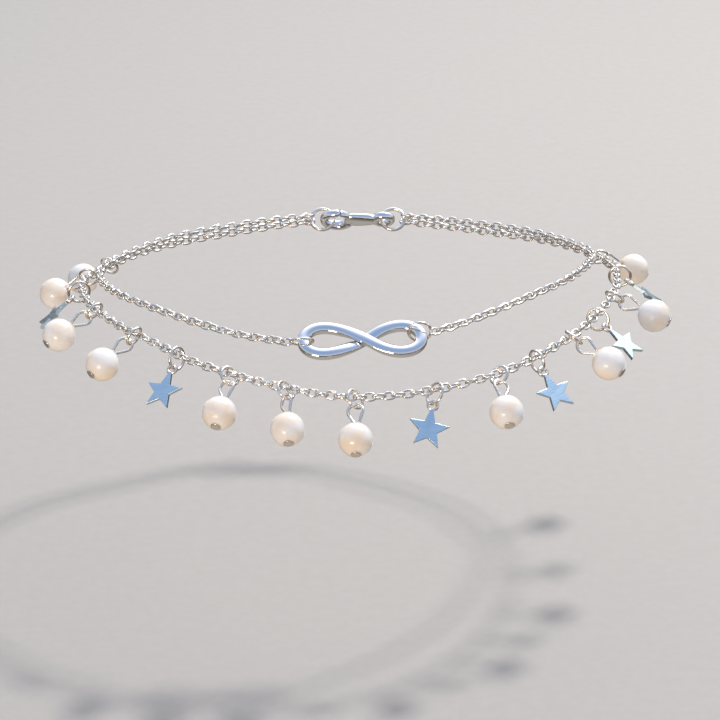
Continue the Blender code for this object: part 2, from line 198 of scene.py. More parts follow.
def smooth_curve(chosen: Array, count: int) -> Array:
    """Even points along a Catmull-Rom curve.

    Between two chosen points the curve is the cubic whose slope at each is half the step
    between its neighbours.

    Args:
        chosen: Points that the curve passes through.
        count: Number of even points.

    Returns:
        A count x 3 array.
    """
    padded = np.vstack([2 * chosen[0] - chosen[1], chosen, 2 * chosen[-1] - chosen[-2]])[:, None]
    before, start, end, after = padded[:-3], padded[1:-2], padded[2:-1], padded[3:]
    step = np.linspace(0, 1, STEPS_BETWEEN, endpoint=False)[None, :, None]
    fine = 0.5 * (
        2 * start + (end - before) * step
        + (2 * before - 5 * start + 4 * end - after) * step ** 2
        + (3 * start - before - 3 * end + after) * step ** 3
    )
    return even_points(np.vstack([fine.reshape(-1, 3), chosen[-1:]]), count)


# Meshes


def signed_power(base: Array, power: float) -> Array:
    """Power of the size with the sign kept, which squares or softens an ellipse."""
    return np.sign(base) * np.abs(base) ** power


def grid_quads(rows: int, columns: int, wrap_rows: bool) -> Array:
    """Corner numbers of the quads of a grid whose columns close on themselves.

    Args:
        rows: Points along the grid.
        columns: Points round it.
        wrap_rows: Whether the last row joins the first.

    Returns:
        An n x 4 array.
    """
    row = np.arange(rows if wrap_rows else rows - 1)[:, None]
    column = np.arange(columns)[None, :]
    after, beside = (row + 1) % rows, (column + 1) % columns
    corners = [row * columns + column, after * columns + column]
    corners += [after * columns + beside, row * columns + beside]
    return np.stack(np.broadcast_arrays(*corners), axis=-1).reshape(-1, 4)


def volume(points: Array, quads: Array) -> float:
    """Signed volume within quads: a sixth of the sum of their triangles' triple products."""
    a, b, c, d = (points[quads[:, k]] for k in range(4))
    return float((a * np.cross(b, c)).sum() + (a * np.cross(c, d)).sum()) / 6


def mesh_from(name: str, points: Array, faces: Sequence[Sequence[int]]) -> Mesh:
    """A smooth-shaded mesh of points and faces.

    Args:
        name: Name of the mesh.
        points: Rows of coordinates.
        faces: Corner numbers of each face.

    Returns:
        The mesh.
    """
    mesh = bpy.data.meshes.new(name)
    mesh.from_pydata(points.tolist(), [], [list(face) for face in faces])
    mesh.validate()
    mesh.shade_smooth()
    return mesh


def surface_mesh(name: str, grids: Array, closed: bool) -> Mesh:
    """One mesh of a grid surface or its copies, with its faces outward.

    Args:
        name: Name of the mesh.
        grids: Points as rows x columns x 3, or as copies of that.
        closed: Whether the last row joins the first. If not, one face shuts each end.

    Returns:
        The mesh.
    """
    copies, rows, columns, _ = grids.reshape(-1, *grids.shape[-3:]).shape
    points = grids.reshape(-1, 3)
    quads = grid_quads(rows, columns, closed)
    starts = np.arange(copies)[:, None, None] * rows * columns
    faces = (quads[None] + starts).reshape(-1, 4).tolist()
    if not closed:
        end = np.arange(columns)
        faces += [end[::-1].tolist(), (end + (rows - 1) * columns).tolist()]
    one = points[:rows * columns]
    if volume(one - one.mean(axis=0), quads) < 0:
        faces = [face[::-1] for face in faces]
    return mesh_from(name, points, faces)


def circle(count: int, start: float = 0.0) -> Array:
    """Cosines and sines of even turns, as a count x 2 array."""
    turns = math.radians(start) + np.arange(count) * math.tau / count
    return np.stack([np.cos(turns), np.sin(turns)], axis=1)


def flat_tube(path: Array, radii: Array, sides: int) -> Array:
    """Round tube along a path in the local XZ plane.

    Each ring is the path's point plus a circle in the plane of Y and the path's own normal.

    Args:
        path: Rows x 3 points with y = 0.
        radii: Radius at each point.
        sides: Points round the tube.

    Returns:
        Rows x sides x 3 points.
    """
    upright = np.array([0.0, 1.0, 0.0])
    side = np.cross(unit(np.gradient(path, axis=0)), upright)
    around = circle(sides)
    offset = side[:, None, :] * around[None, :, :1] + upright * around[None, :, 1:]
    return path[:, None, :] + radii[:, None, None] * offset


def blunt(depth: Array, reach: float, least: float) -> Array:
    """Narrowing of a bar within its rounded end: a quarter ellipse, down to a least share."""
    return np.sqrt(np.clip(1 - (np.maximum(depth, 0) / reach) ** 2, least, 1))


def oval_torus(radius: float, halves: tuple[float, float], stations: int, sides: int) -> Array:
    """Torus about Z: an oval section carried round a circle.

    Args:
        radius: Radius of the circle.
        halves: Half the section across and along Z.
        stations: Sections round the circle.
        sides: Points round a section.

    Returns:
        Stations x sides x 3 points.
    """
    around = circle(sides) * halves
    reach = (radius + around[:, 0])[None, :, None] * circle(stations)[:, None]
    return np.concatenate([reach, np.broadcast_to(around[None, :, 1:], (stations, sides, 1))], axis=-1)


# Finishes


def linear(tone: str) -> tuple[float, float, float, float]:
    """Linear colour of an sRGB hex value such as "#C0C0C0"."""
    shares = [int(tone[k:k + 2], 16) / 255 for k in (1, 3, 5)]
    return *(s / 12.92 if s <= 0.04045 else ((s + 0.055) / 1.055) ** 2.4 for s in shares), 1.0


def set_inputs(tree: Tree, node: Node, inputs: Inputs) -> None:
    """Give a node's inputs their values, or links from output sockets.

    Args:
        tree: Node tree of the node.
        node: The node.
        inputs: Value or linked output socket for each input.
    """
    for key, value in inputs.items():
        if isinstance(value, bpy.types.NodeSocket):
            tree.links.new(value, node.inputs[key])
        else:
            node.inputs[key].default_value = value


def add_node(tree: Tree, kind: str, inputs: Inputs | None = None, **settings: object) -> Node:
    """A node with its settings, values and links.

    Args:
        tree: Node tree that gets the node.
        kind: Blender's name of the node type.
        inputs: Value or linked output socket for each input.
        settings: Properties of the node.

    Returns:
        The node.
    """
    node = tree.nodes.new(kind)
    for key, value in settings.items():
        setattr(node, key, value)
    set_inputs(tree, node, inputs or {})
    return node


def new_material(name: str) -> tuple[Material, Tree, Node]:
    """An empty material with its tree and its main shader.

    Args:
        name: Name of the material.

    Returns:
        The material, its node tree and its Principled shader.
    """
    material = bpy.data.materials.new(name)
    material.use_nodes = True
    tree = material.node_tree
    return material, tree, tree.nodes["Principled BSDF"]


@dataclass(frozen=True)
class SilverFinish:
    """Bare sterling silver with the marks of how it was made.

    Grain is the spacing of the marks in millimetres, depth how far they reach into the metal.
    """

    name: str
    tone: str
    dark_tone: str
    roughness: float
    roughness_spread: float
    grain: float
    depth: float
    stretch: tuple[float, float, float] = (1.0, 1.0, 1.0)
    lie: float = 0.0
    on_sheet: bool = False

    def material(self) -> Material:
        """The finish as a material: marks vary the gloss and the tone, and stand in relief.

        Returns:
            The material.
        """
        material, tree, shader = new_material(self.name)
        source = add_node(tree, "ShaderNodeTexCoord").outputs["UV" if self.on_sheet else "Object"]
        lined = add_node(tree, "ShaderNodeMapping", {
            "Vector": source, "Rotation": (0, 0, math.radians(self.lie)), "Scale": self.stretch,
        })
        # The sheet's UV map is in millimetres, object coordinates are in metres
        per_unit = 1 / self.grain if self.on_sheet else 1 / (self.grain * MM)
        marks = add_node(tree, "ShaderNodeTexNoise", {
            "Vector": lined.outputs[0], "Scale": per_unit, "Detail": 3.0, "Roughness": 0.6,
        })
        gloss = add_node(tree, "ShaderNodeMapRange", {
            "Value": marks.outputs["Fac"], "From Min": 0.3, "From Max": 0.7,
            "To Min": self.roughness - self.roughness_spread,
            "To Max": self.roughness + self.roughness_spread,
        })
        tone = add_node(tree, "ShaderNodeMix", {
            "Factor": marks.outputs["Fac"], "A": linear(self.dark_tone), "B": linear(self.tone),
        }, data_type="RGBA")
        relief = add_node(tree, "ShaderNodeBump", {
            "Height": marks.outputs["Fac"], "Strength": 1.0, "Distance": self.depth * MM,
        })
        set_inputs(tree, shader, {
            "Base Color": tone.outputs["Result"], "Roughness": gloss.outputs["Result"],
            "Normal": relief.outputs["Normal"], "Metallic": 1.0,
        })
        return material


# Cast silver, machine polished: a mirror with a faint haze, so its reflections stay soft
CAST_SILVER = SilverFinish(
    "cast_silver_polished", "#F2F3F5", "#E6E8EC", 0.07, 0.03, grain=0.35, depth=0.0006)
# Silver wire, drawn and tumbled: bright, but less sharp than the cast piece
WIRE_SILVER = SilverFinish(
    "drawn_silver_wire_tumbled", "#FFF8EE", "#EFE6DA", 0.22, 0.05, grain=0.25, depth=0.0010)
# Chain silver, finer wire tumbled with its links closed: the small dents make it sparkle
CHAIN_SILVER = SilverFinish(
    "chain_silver_tumbled", "#FFFAF2", "#EAE3DA", 0.15, 0.05, grain=0.3, depth=0.0020)
# Rolled silver sheet, satin brushed along one diagonal: broad pale reflections with fine lines. Its
# pale blue tones are a painted reflection of a cool sky, not the colour of silver
SKY_TINTED_SHEET_SILVER = SilverFinish(
    "rolled_silver_sheet_satin_sky_tinted", "#DEF0F8", "#C8E0EE", 0.30, 0.06, grain=0.22, depth=0.0008,
    stretch=(0.09, 1.0, 1.0), lie=38.0, on_sheet=True)


@dataclass(frozen=True)
class NacreFinish:
    """Cultured pearl nacre, grown in thin layers: a soft body under a clear glossy skin.

    Cloud and layer are the spacing of the body's clouds and of the layers' edges, and depth how
    far those edges stand out, all in millimetres.
    """

    name: str = "cultured_pearl_nacre"
    body: str = "#FAF5F0"
    blush: str = "#F9E6CF"
    glow: str = "#FFF3E6"
    cloud: float = 2.6
    layer: float = 0.35
    depth: float = 0.0006

    def material(self) -> Material:
        """The finish as a material: clouds of blush in the body, light scattered below the skin.

        Returns:
            The material.
        """
        material, tree, shader = new_material(self.name)
        source = add_node(tree, "ShaderNodeTexCoord").outputs["Object"]
        clouds = add_node(tree, "ShaderNodeTexNoise", {
            "Vector": source, "Scale": 1 / (self.cloud * MM), "Detail": 1.0,
        })
        share = add_node(tree, "ShaderNodeMapRange", {
            "Value": clouds.outputs["Fac"], "From Min": 0.35, "From Max": 0.65,
        })
        tone = add_node(tree, "ShaderNodeMix", {
            "Factor": share.outputs["Result"], "A": linear(self.body), "B": linear(self.blush),
        }, data_type="RGBA")
        layers = add_node(tree, "ShaderNodeTexNoise", {
            "Vector": source, "Scale": 1 / (self.layer * MM), "Detail": 2.0,
        })
        relief = add_node(tree, "ShaderNodeBump", {
            "Height": layers.outputs["Fac"], "Strength": 1.0, "Distance": self.depth * MM,
        })
        set_inputs(tree, shader, {
            "Base Color": tone.outputs["Result"], "Normal": relief.outputs["Normal"],
            "Roughness": 0.3, "IOR": 1.45, "Subsurface Weight": 0.2,
            "Subsurface Radius": (1.0, 0.85, 0.7), "Subsurface Scale": 0.4 * MM,
            "Coat Weight": 0.5, "Coat Roughness": 0.09, "Coat IOR": 1.5,
            "Sheen Weight": 0.9, "Sheen Roughness": 0.3, "Sheen Tint": linear(self.glow),
        })
        return material


def add_object(name: str, data: bpy.types.ID) -> bpy.types.Object:
    """An object of the scene for a mesh, a light or a camera.

    Args:
        name: Name of the object.
        data: What it shows.

    Returns:
        The object.
    """
    thing = bpy.data.objects.new(name, data)
    bpy.context.scene.collection.objects.link(thing)
    return thing


def add_piece(name: str, mesh: Mesh, material: Material, slot: Slot, *nodes: str) -> bpy.types.Object:
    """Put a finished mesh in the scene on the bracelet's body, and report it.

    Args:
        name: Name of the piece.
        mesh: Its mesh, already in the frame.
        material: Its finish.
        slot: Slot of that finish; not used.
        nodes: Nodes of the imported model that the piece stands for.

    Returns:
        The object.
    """
    piece = add_object(name, mesh)
    mesh.materials.append(material)
    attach(piece, BODY)
    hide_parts(*nodes)
    log.info(name)
    return piece


def add_surface(
    name: str, grid: Array, material: Material, slot: Slot, node: str, closed: bool = True
) -> None:
    """Put a grid surface in the scene, standing for one node."""
    add_piece(name, surface_mesh(name, grid, closed), material, slot, node)


# Sub-assemblies


@dataclass(frozen=True)
class JumpRing:
    """Round wire ring with a butt seam, in its local XZ plane."""

    diameter: float
    wire: float
    stations: int = 56
    sides: int = 12
    seam_width: float = 0.03 * MM
    seam_depth: float = 0.22
    crowding: float = 1.6

    @property
    def radius(self) -> float:
        """Radius of the wire's centre line."""
        return (self.diameter - self.wire) / 2

    def surface(self, seam_turn: float) -> Array:
        """A torus whose wire narrows by a bell-shaped notch at the seam.

        Args:
            seam_turn: Where the seam lies, in degrees from local +X.

        Returns:
            Stations x sides x 3 points.
        """
        even = np.linspace(-1, 1, self.stations, endpoint=False)
        # Stations crowd towards the seam, where the notch needs them
        away = math.pi * signed_power(even, self.crowding)
        notch = np.exp(-(away * self.radius / self.seam_width) ** 2)
        wire = self.wire / 2 * (1 - self.seam_depth * notch)
        turn = away + math.radians(seam_turn)
        around = circle(self.sides)
        reach = self.radius + wire[:, None] * around[None, :, 0]
        across = wire[:, None] * around[None, :, 1]
        return np.stack([reach * np.cos(turn)[:, None], across, reach * np.sin(turn)[:, None]], axis=-1)

    def build(self, name: str, node: str, placed: Array, material: Material, seam: float) -> None:
        """Make the ring at a placement, with its seam at a turn, standing for one node."""
        add_surface(name, place(self.surface(seam), placed), material, Slot.POLISHED, node)


@dataclass(frozen=True)
class RingSeat:
    """Where a ring grips the connector: turn along the band, pull outward, tilt and seam.

    All but the pull are in degrees.
    """

    turn: float
    offset: float
    tilt: float
    seam: float


@dataclass(frozen=True)
class InfinityConnector:
    """Domed band that passes over itself, with a ring through each lobe."""

    drape: Drape
    length: float = 15.1 * MM
    height: float = 5.25 * MM
    band_width: float = 1.38 * MM
    band_thickness: float = 1.05 * MM
    crossing_thickness: float = 0.64 * MM
    crossing_gap: float = 0.1 * MM
    crossing_reach: float = 2.0 * MM
    fullness: float = 0.4
    stand_off: float = 0.95 * MM
    azimuth: float = 0.6
    share: float = 0.779
    roll: float = 2.0
    seats: dict[str, RingSeat] = field(default_factory=lambda: {
        "left": RingSeat(270.0, 0.19 * MM, 24.0, -50.0),
        "right": RingSeat(101.8, 0.1 * MM, -14.0, 50.0),
    })
    ring: JumpRing = JumpRing(2.95 * MM, 0.33 * MM)
    chain_gap: float = 0.3 * MM
    wall_power: float = 0.42
    dome_share: float = 0.42
    turn_step: float = 0.01
    stations: int = 288
    sides: int = 40

    @property
    def placed(self) -> Array:
        """The connector's place on the drape."""
        return self.drape.frame(self.azimuth, self.share, self.stand_off, self.roll)

    def centre_line(self, turns: Array) -> Array:
        """Figure of eight: the sine along, sine times cosine across, both spread near the middle.

        Args:
            turns: Places along the band, in radians.

        Returns:
            A row of coordinates for each turn.
        """
        spread = 1 + self.fullness * np.cos(turns) ** 2
        peak = math.sqrt(1 / (4 * (1 + self.fullness)))
        along = (self.length - self.band_width) / 2 * np.sin(turns) / spread
        across = -(self.height - self.band_width) / 2 * np.sin(turns) * np.cos(turns) / spread / peak
        return np.stack([along, across, np.zeros_like(turns)], axis=1)

    def section(self) -> Array:
        """Section of the band, as shares of its width and thickness.

        It is a superellipse squarer than a circle, whose upper side is swelled into a low dome:
        straight walls, small round corners, a flat back and a gently curved face.

        Returns:
            Sides x 2 points.
        """
        turns = np.arange(self.sides) * math.tau / self.sides
        across = 0.5 * signed_power(np.cos(turns), self.wall_power)
        up = 0.5 * signed_power(np.sin(turns), self.wall_power)
        dome = 1 - self.dome_share * (2 * across) ** 2 * (up > 0)
        return np.stack([across, up * dome], axis=1)

    def surface(self) -> Array:
        """The section carried along the centre line.

        Near the middle the band thins, and its two passes rise and sink by half their thickness.

        Returns:
            Stations x sides x 3 points.
        """
        turns = np.arange(self.stations) * math.tau / self.stations
        centre = self.centre_line(turns)
        step = self.turn_step
        ahead = unit(self.centre_line(turns + step) - self.centre_line(turns - step))
        side = np.stack([-ahead[:, 1], ahead[:, 0], np.zeros_like(turns)], axis=1)
        near = np.exp(-(centre[:, 0] / self.crossing_reach) ** 2)
        thickness = self.band_thickness + (self.crossing_thickness - self.band_thickness) * near
        centre[:, 2] = (self.crossing_thickness + self.crossing_gap) / 2 * near * np.sign(np.cos(turns))
        section = self.section()
        points = centre[:, None, :] + side[:, None, :] * (section[None, :, :1] * self.band_width)
        points[:, :, 2] += section[None, :, 1] * thickness[:, None]
        return points

    def ring_centre(self, side: str, beyond: float = 0.0) -> Array:
        """Centre of a side's ring in the connector's plane, or a point beyond it.

        Args:
            side: "left" or "right".
            beyond: Distance outward from the ring's centre.

        Returns:
            The point.
        """
        seat = self.seats[side]
        outward = -1.0 if side == "left" else 1.0
        gripped = self.centre_line(np.array([math.radians(seat.turn)]))[0]
        return gripped + [outward * (seat.offset + beyond), 0.0, 0.0]

    def chain_starts(self) -> dict[str, Array]:
        """Where the upper chains start, by side."""
        reach = self.ring.diameter / 2 + self.chain_gap
        return {side: place(self.ring_centre(side, reach), self.placed) for side in self.seats}

    def build(self, silver: Material, wire: Material) -> None:
        """Make the band and its two rings.

        Args:
            silver: Finish of the cast pieces.
            wire: Finish of the wire pieces.
        """
        band = place(self.surface(), self.placed)
        add_surface("infinity_band", band, silver, Slot.POLISHED, "infinity")
        for side, seat in self.seats.items():
            placed = self.placed @ move(*self.ring_centre(side)) @ turn_about("X", seat.tilt)
            self.ring.build(f"connector_ring_{side}", f"infinity_ring_{side}", placed, wire, seat.seam)


@dataclass(frozen=True)
class Clasp:
    """Lobster-shaped clasp at the back, with a ring at each end.

    Starts and sweeps are in degrees. Tips, places and reaches along the hook and the lever are
    shares of their length, and ends are the share of the width that is left at a rounded tip.
    """

    drape: Drape
    length: float = 10.0 * MM
    claw_diameter: float = 4.6 * MM
    claw_bar: float = 1.05 * MM
    tail_diameter: float = 3.1 * MM
    tail_bar: float = 0.8 * MM
    stand_off: float = 1.2 * MM
    azimuth: float = 180.0
    share: float = 0.51
    ring: JumpRing = JumpRing(3.5 * MM, 0.45 * MM)
    ring_offset: float = 0.15 * MM
    ring_seam: float = 20.0
    spread: float = 0.75 * MM
    chain_gap: float = 0.3 * MM
    thickness: float = 1.5 * MM
    link_reach: float = 1.71 * MM
    link_lift: float = 0.46 * MM
    link_rise: float = 0.2 * MM
    hook_start: float = -165.0
    hook_sweep: float = 268.0
    hook_taper: float = 0.3
    hook_body: float = 0.96
    hook_tip: float = 0.0405
    hook_end: float = 0.002
    lever_start: float = 186.0
    lever_sweep: float = 80.0
    lever_width: float = 0.27
    lever_heel: float = 0.03
    lever_tip: float = 0.0301
    lever_end: float = 0.02
    knob: float = 0.55
    knob_place: float = 0.1
    knob_reach: float = 0.09
    heel_bulge: float = 0.13
    heel_reach: float = 0.2
    body_half_width: float = 1.18 * MM
    body_flare: float = 0.32 * MM
    body_setbacks: tuple[float, float] = (0.55 * MM, 0.95 * MM)
    body_fullness: float = 0.45
    eye_rise: float = 0.36
    stations: int = 60
    sides: int = 20

    @property
    def placed(self) -> Array:
        """The clasp's place on the drape."""
        return self.drape.frame(self.azimuth, self.share, self.stand_off, 0.0)

    @property
    def half_span(self) -> float:
        """Half the distance between the centres of the two ends."""
        return (self.length - self.claw_diameter / 2 - self.tail_diameter / 2) / 2

    def ring_centres(self) -> dict[str, float]:
        """Centre of each end ring along the clasp, by side of the bracelet.

        Returns:
            A coordinate along the clasp for each side.
        """
        claw = self.half_span + (self.claw_diameter - self.claw_bar) / 2
        tail = self.half_span + (self.tail_diameter - self.tail_bar) / 2
        return {"left": claw + self.ring_offset, "right": -(tail + self.ring_offset)}

    def beyond_rings(
        self, reach: float, lift: float, rise: float = 0.0
    ) -> dict[tuple[str, str], Array]:
        """Points past the end rings, by side and row.

        Args:
            reach: Distance along the clasp past a ring's centre.
            lift: Distance uphill for the upper row, downhill for the lower.
            rise: Distance outward for the upper row, inward for the lower.

        Returns:
            A point for each side and row.
        """
        points = {}
        for side, centre in self.ring_centres().items():
            for row, sign in (("upper", 1), ("lower", -1)):
                local = np.array([centre + math.copysign(reach, centre), sign * lift, sign * rise])
                points[side, row] = place(local, self.placed)
        return points

    def chain_ends(self) -> dict[tuple[str, str], Array]:
        """Where each strand ends, by side and row."""
        return self.beyond_rings(self.ring.diameter / 2 + self.chain_gap, self.spread)

    def last_links(self) -> dict[tuple[str, str], Array]:
        """Centres of the last links, which fan out uphill and downhill in the end rings."""
        return self.beyond_rings(self.link_reach, self.link_lift, self.link_rise)

    @property
    def bend(self) -> float:
        """Radius of the claw's bend."""
        return (self.claw_diameter - self.claw_bar) / 2

    def bent_bar(self, turns: Array, bend: float | Array, radii: Array) -> Array:
        """Bar bent round the claw's centre, upright oval in section.

        Args:
            turns: Angles along the bend, in degrees from local +X.
            bend: Radius of the bend, one or one for each angle.
            radii: Half width of the bar at each angle.

        Returns:
            The bar's surface in the clasp's frame.
        """
        angle = np.radians(turns)
        path = np.stack([bend * np.cos(angle), 0 * angle, bend * np.sin(angle)], axis=1)
        bar = flat_tube(path, radii, self.sides)
        rise = self.thickness / 2 / radii.max()
        return np.stack([bar[..., 0] + self.half_span, bar[..., 2], -bar[..., 1] * rise], axis=-1)

    def hook_surface(self) -> Array:
        """The claw: three quarters of a ring, from the thick root to a blunt tip.

        Places along it are shares of its length, and crowd towards the tip as a sine does.

        Returns:
            The bar's surface in the clasp's frame.
        """
        body, tip = self.hook_body, (1 - self.hook_body) * np.sin(np.linspace(0.2, 1.57, 9))
        share = np.concatenate([np.linspace(0, body, 70), body + tip])
        thick = self.claw_bar / 2 * (1 - self.hook_taper * share)
        end = blunt(share - body, self.hook_tip, self.hook_end)
        return self.bent_bar(self.hook_start + self.hook_sweep * share, self.bend, thick * end)

    def lever_surface(self) -> Array:
        """The spring lever that shuts the claw, with a thumb knob at its outer end.

        The knob and the bulge of its heel are bell curves along the lever.

        Returns:
            The bar's surface in the clasp's frame.
        """
        heel = self.lever_heel * (1 - np.cos(np.linspace(0.15, 1.57, 7)))
        share = np.concatenate([heel, np.linspace(0.04, 1, 50)])
        knob = 1 + self.knob * np.exp(-((share - self.knob_place) / self.knob_reach) ** 2)
        start = blunt(self.lever_heel - share, self.lever_tip, self.lever_end)
        bend = self.bend * (1 + self.heel_bulge * np.exp(-(share / self.heel_reach) ** 2))
        half_width = self.lever_width * self.claw_bar * knob * start
        return self.bent_bar(self.lever_start - self.lever_sweep * share, bend, half_width)

    def body_surface(self) -> Array:
        """The body between claw and tail: an oval whose width swells and fades along X.

        Returns:
            Stations x sides x 3 points.
        """
        turns = np.radians(np.linspace(2, 178, self.stations))
        along = -np.cos(turns)
        fade = np.sin(turns) ** self.body_fullness
        half_width = (self.body_half_width + self.body_flare * along) * fade
        half_rise = self.thickness / 2 * fade
        start, end = -self.half_span + self.body_setbacks[0], self.half_span - self.body_setbacks[1]
        x = start + (end - start) * (1 + along) / 2
        around = circle(self.sides)
        y = half_width[:, None] * around[None, :, 0]
        z = half_rise[:, None] * around[None, :, 1]
        return np.stack([np.broadcast_to(x[:, None], y.shape), y, z], axis=-1)

    def eye_surface(self) -> Array:
        """The tail's eye: a torus with an upright oval section.

        Returns:
            Stations x sides x 3 points.
        """
        halves = self.tail_bar / 2, self.thickness * self.eye_rise
        eye = oval_torus((self.tail_diameter - self.tail_bar) / 2, halves, self.stations, self.sides)
        return eye - [self.half_span, 0, 0]

    def build(self, silver: Material, wire: Material) -> None:
        """Make the clasp's parts and its rings.

        Args:
            silver: Finish of the cast pieces.
            wire: Finish of the wire pieces.
        """
        placed = self.placed
        parts = {
            "body": self.body_surface(), "hook": self.hook_surface(),
            "lever": self.lever_surface(), "eye": self.eye_surface(),
        }
        for part, surface in parts.items():
            closed = part == "eye"
            add_surface(f"clasp_{part}", place(surface, placed), silver, Slot.POLISHED, "clasp", closed)
        for side, centre in self.ring_centres().items():
            seat = placed @ move(centre, 0, 0)
            self.ring.build(f"clasp_ring_{side}", f"end_ring_{side}", seat, wire, self.ring_seam)


@dataclass(frozen=True)
class CableChain:
    """Fine cable chain of oval links that lie flat and on edge by turns.

    Sway is in degrees, and ruler points are those by which a strand's length is measured.
    """

    drape: Drape
    link_length: float = 1.70 * MM
    link_width: float = 1.20 * MM
    wire: float = 0.29 * MM
    slack: float = 0.01 * MM
    stand_off: float = 0.6 * MM
    sway: float = 9.0
    corner_power: float = 0.85
    ruler_points: int = 2000
    stations: int = 12
    sides: int = 6

    @property
    def pitch(self) -> float:
        """Distance between links that just hang in each other."""
        return self.link_length - 2 * self.wire - self.slack

    def link(self) -> Array:
        """One link in its local XY plane, long along X.

        Its centre line is an ellipse with both parts raised to a power below 1, which fills
        out the corners, and a circle of the wire's radius is carried round it.

        Returns:
            Stations x sides x 3 points.
        """
        half = np.array([self.link_length - self.wire, self.link_width - self.wire]) / 2
        turns = circle(self.stations)
        level = np.zeros((self.stations, 1))
        line = np.hstack([half * signed_power(turns, self.corner_power), level])
        outward = unit(np.hstack([turns / half, level]))
        around = circle(self.sides, 30.0)[None]
        offset = outward[:, None] * around[..., :1] + np.array([0.0, 0.0, 1.0]) * around[..., 1:]
        return line[:, None] + self.wire / 2 * offset

    def route(self, stations: Sequence[tuple[float, float]]) -> list[Array]:
        """Points on the drape for azimuths and height shares."""
        return [self.drape.point(azimuth, share, self.stand_off) for azimuth, share in stations]

    def surface(self, chosen: Sequence[Array], seed: int) -> Array:
        """Every link of a strand.

        Link centres lie evenly on the smooth curve. A link's X axis follows the curve, and its
        plane turns by a quarter from link to link, with a little sway.

        Args:
            chosen: Points of the strand, from the first link's centre to the last one's.
            seed: Seed of the sway.

        Returns:
            Links x stations x sides x 3 points.
        """
        length = travelled(smooth_curve(np.array(chosen), self.ruler_points))[-1]
        # An odd number of links, so that the first and the last both lie flat in their rings
        count = 2 * math.ceil(length / self.pitch / 2) + 1
        centres = smooth_curve(np.array(chosen), count)
        ahead = unit(np.gradient(centres, axis=0))
        outward = self.drape.normal(centres)
        side = unit(np.cross(outward, ahead))
        outward = np.cross(ahead, side)
        sway = np.radians(np.random.default_rng(seed).uniform(-self.sway, self.sway, count))
        roll = (np.arange(count) % 2) * math.pi / 2 + sway
        across = np.cos(roll)[:, None] * side + np.sin(roll)[:, None] * outward
        facing = np.cross(ahead, across)
        link = self.link()
        return (
            centres[:, None, None] + link[None, ..., :1] * ahead[:, None, None]
            + link[None, ..., 1:2] * across[:, None, None] + link[None, ..., 2:] * facing[:, None, None]
        )

    def build(self, row: str, chosen: Sequence[Array], seed: int, material: Material) -> None:
        """Make one strand, standing for its plain round."""
        add_surface(f"chain_{row}", self.surface(chosen, seed), material, Slot.CHAIN, f"strand_{row}")


@dataclass(frozen=True)
class Strands:
    """Routes of the strands: azimuth in degrees and height as a share of the drape's."""

    lower: tuple[tuple[float, float], ...] = (
        (-155, 0.49), (-132, 0.50), (-108, 0.53), (-92, 0.588), (-76, 0.63), (-60, 0.645), (-48, 0.645),
        (-35, 0.617), (-20, 0.583), (-8, 0.552), (2, 0.541), (15, 0.561), (30, 0.60), (45, 0.645),
        (60, 0.675), (80, 0.683), (97, 0.66), (113, 0.605), (135, 0.54), (155, 0.495),
    )
    upper_left: tuple[tuple[float, float], ...] = (
        (-29, 0.752), (-43, 0.758), (-60, 0.749), (-75, 0.718), (-89, 0.676), (-99, 0.64),
        (-112, 0.608), (-135, 0.577), (-155, 0.565),
    )
    upper_right: tuple[tuple[float, float], ...] = (
        (27, 0.80), (43, 0.822), (59, 0.825), (69, 0.815), (80, 0.798), (94, 0.762), (108, 0.70),
        (119, 0.665), (138, 0.61), (155, 0.575),
    )
    seeds: dict[str, int] = field(default_factory=lambda: {"lower": 11, "left": 12, "right": 13})
    hanging_points: int = 42

    def build(
        self, chain: CableChain, starts: dict[str, Array], clasp: Clasp, material: Material
    ) -> Array:
        """Make the three strands.

        Args:
            chain: The chain they are made of.
            starts: Where the upper strands start at the connector.
            clasp: The clasp in whose rings every strand ends.
            material: The chain's finish.

        Returns:
            Points of the lower strand on which the charms hang.
        """
        ends, last = clasp.chain_ends(), clasp.last_links()
        lower = [ends["left", "lower"], *chain.route(self.lower), ends["right", "lower"]]
        hooked = [last["left", "lower"], *lower, last["right", "lower"]]
        chain.build("lower", hooked, self.seeds["lower"], material)
        for side, stations in (("left", self.upper_left), ("right", self.upper_right)):
            route = [starts[side], *chain.route(stations), ends[side, "upper"], last[side, "upper"]]
            chain.build(f"upper_{side}", route, self.seeds[side], material)
        return smooth_curve(np.array(lower), self.hanging_points)


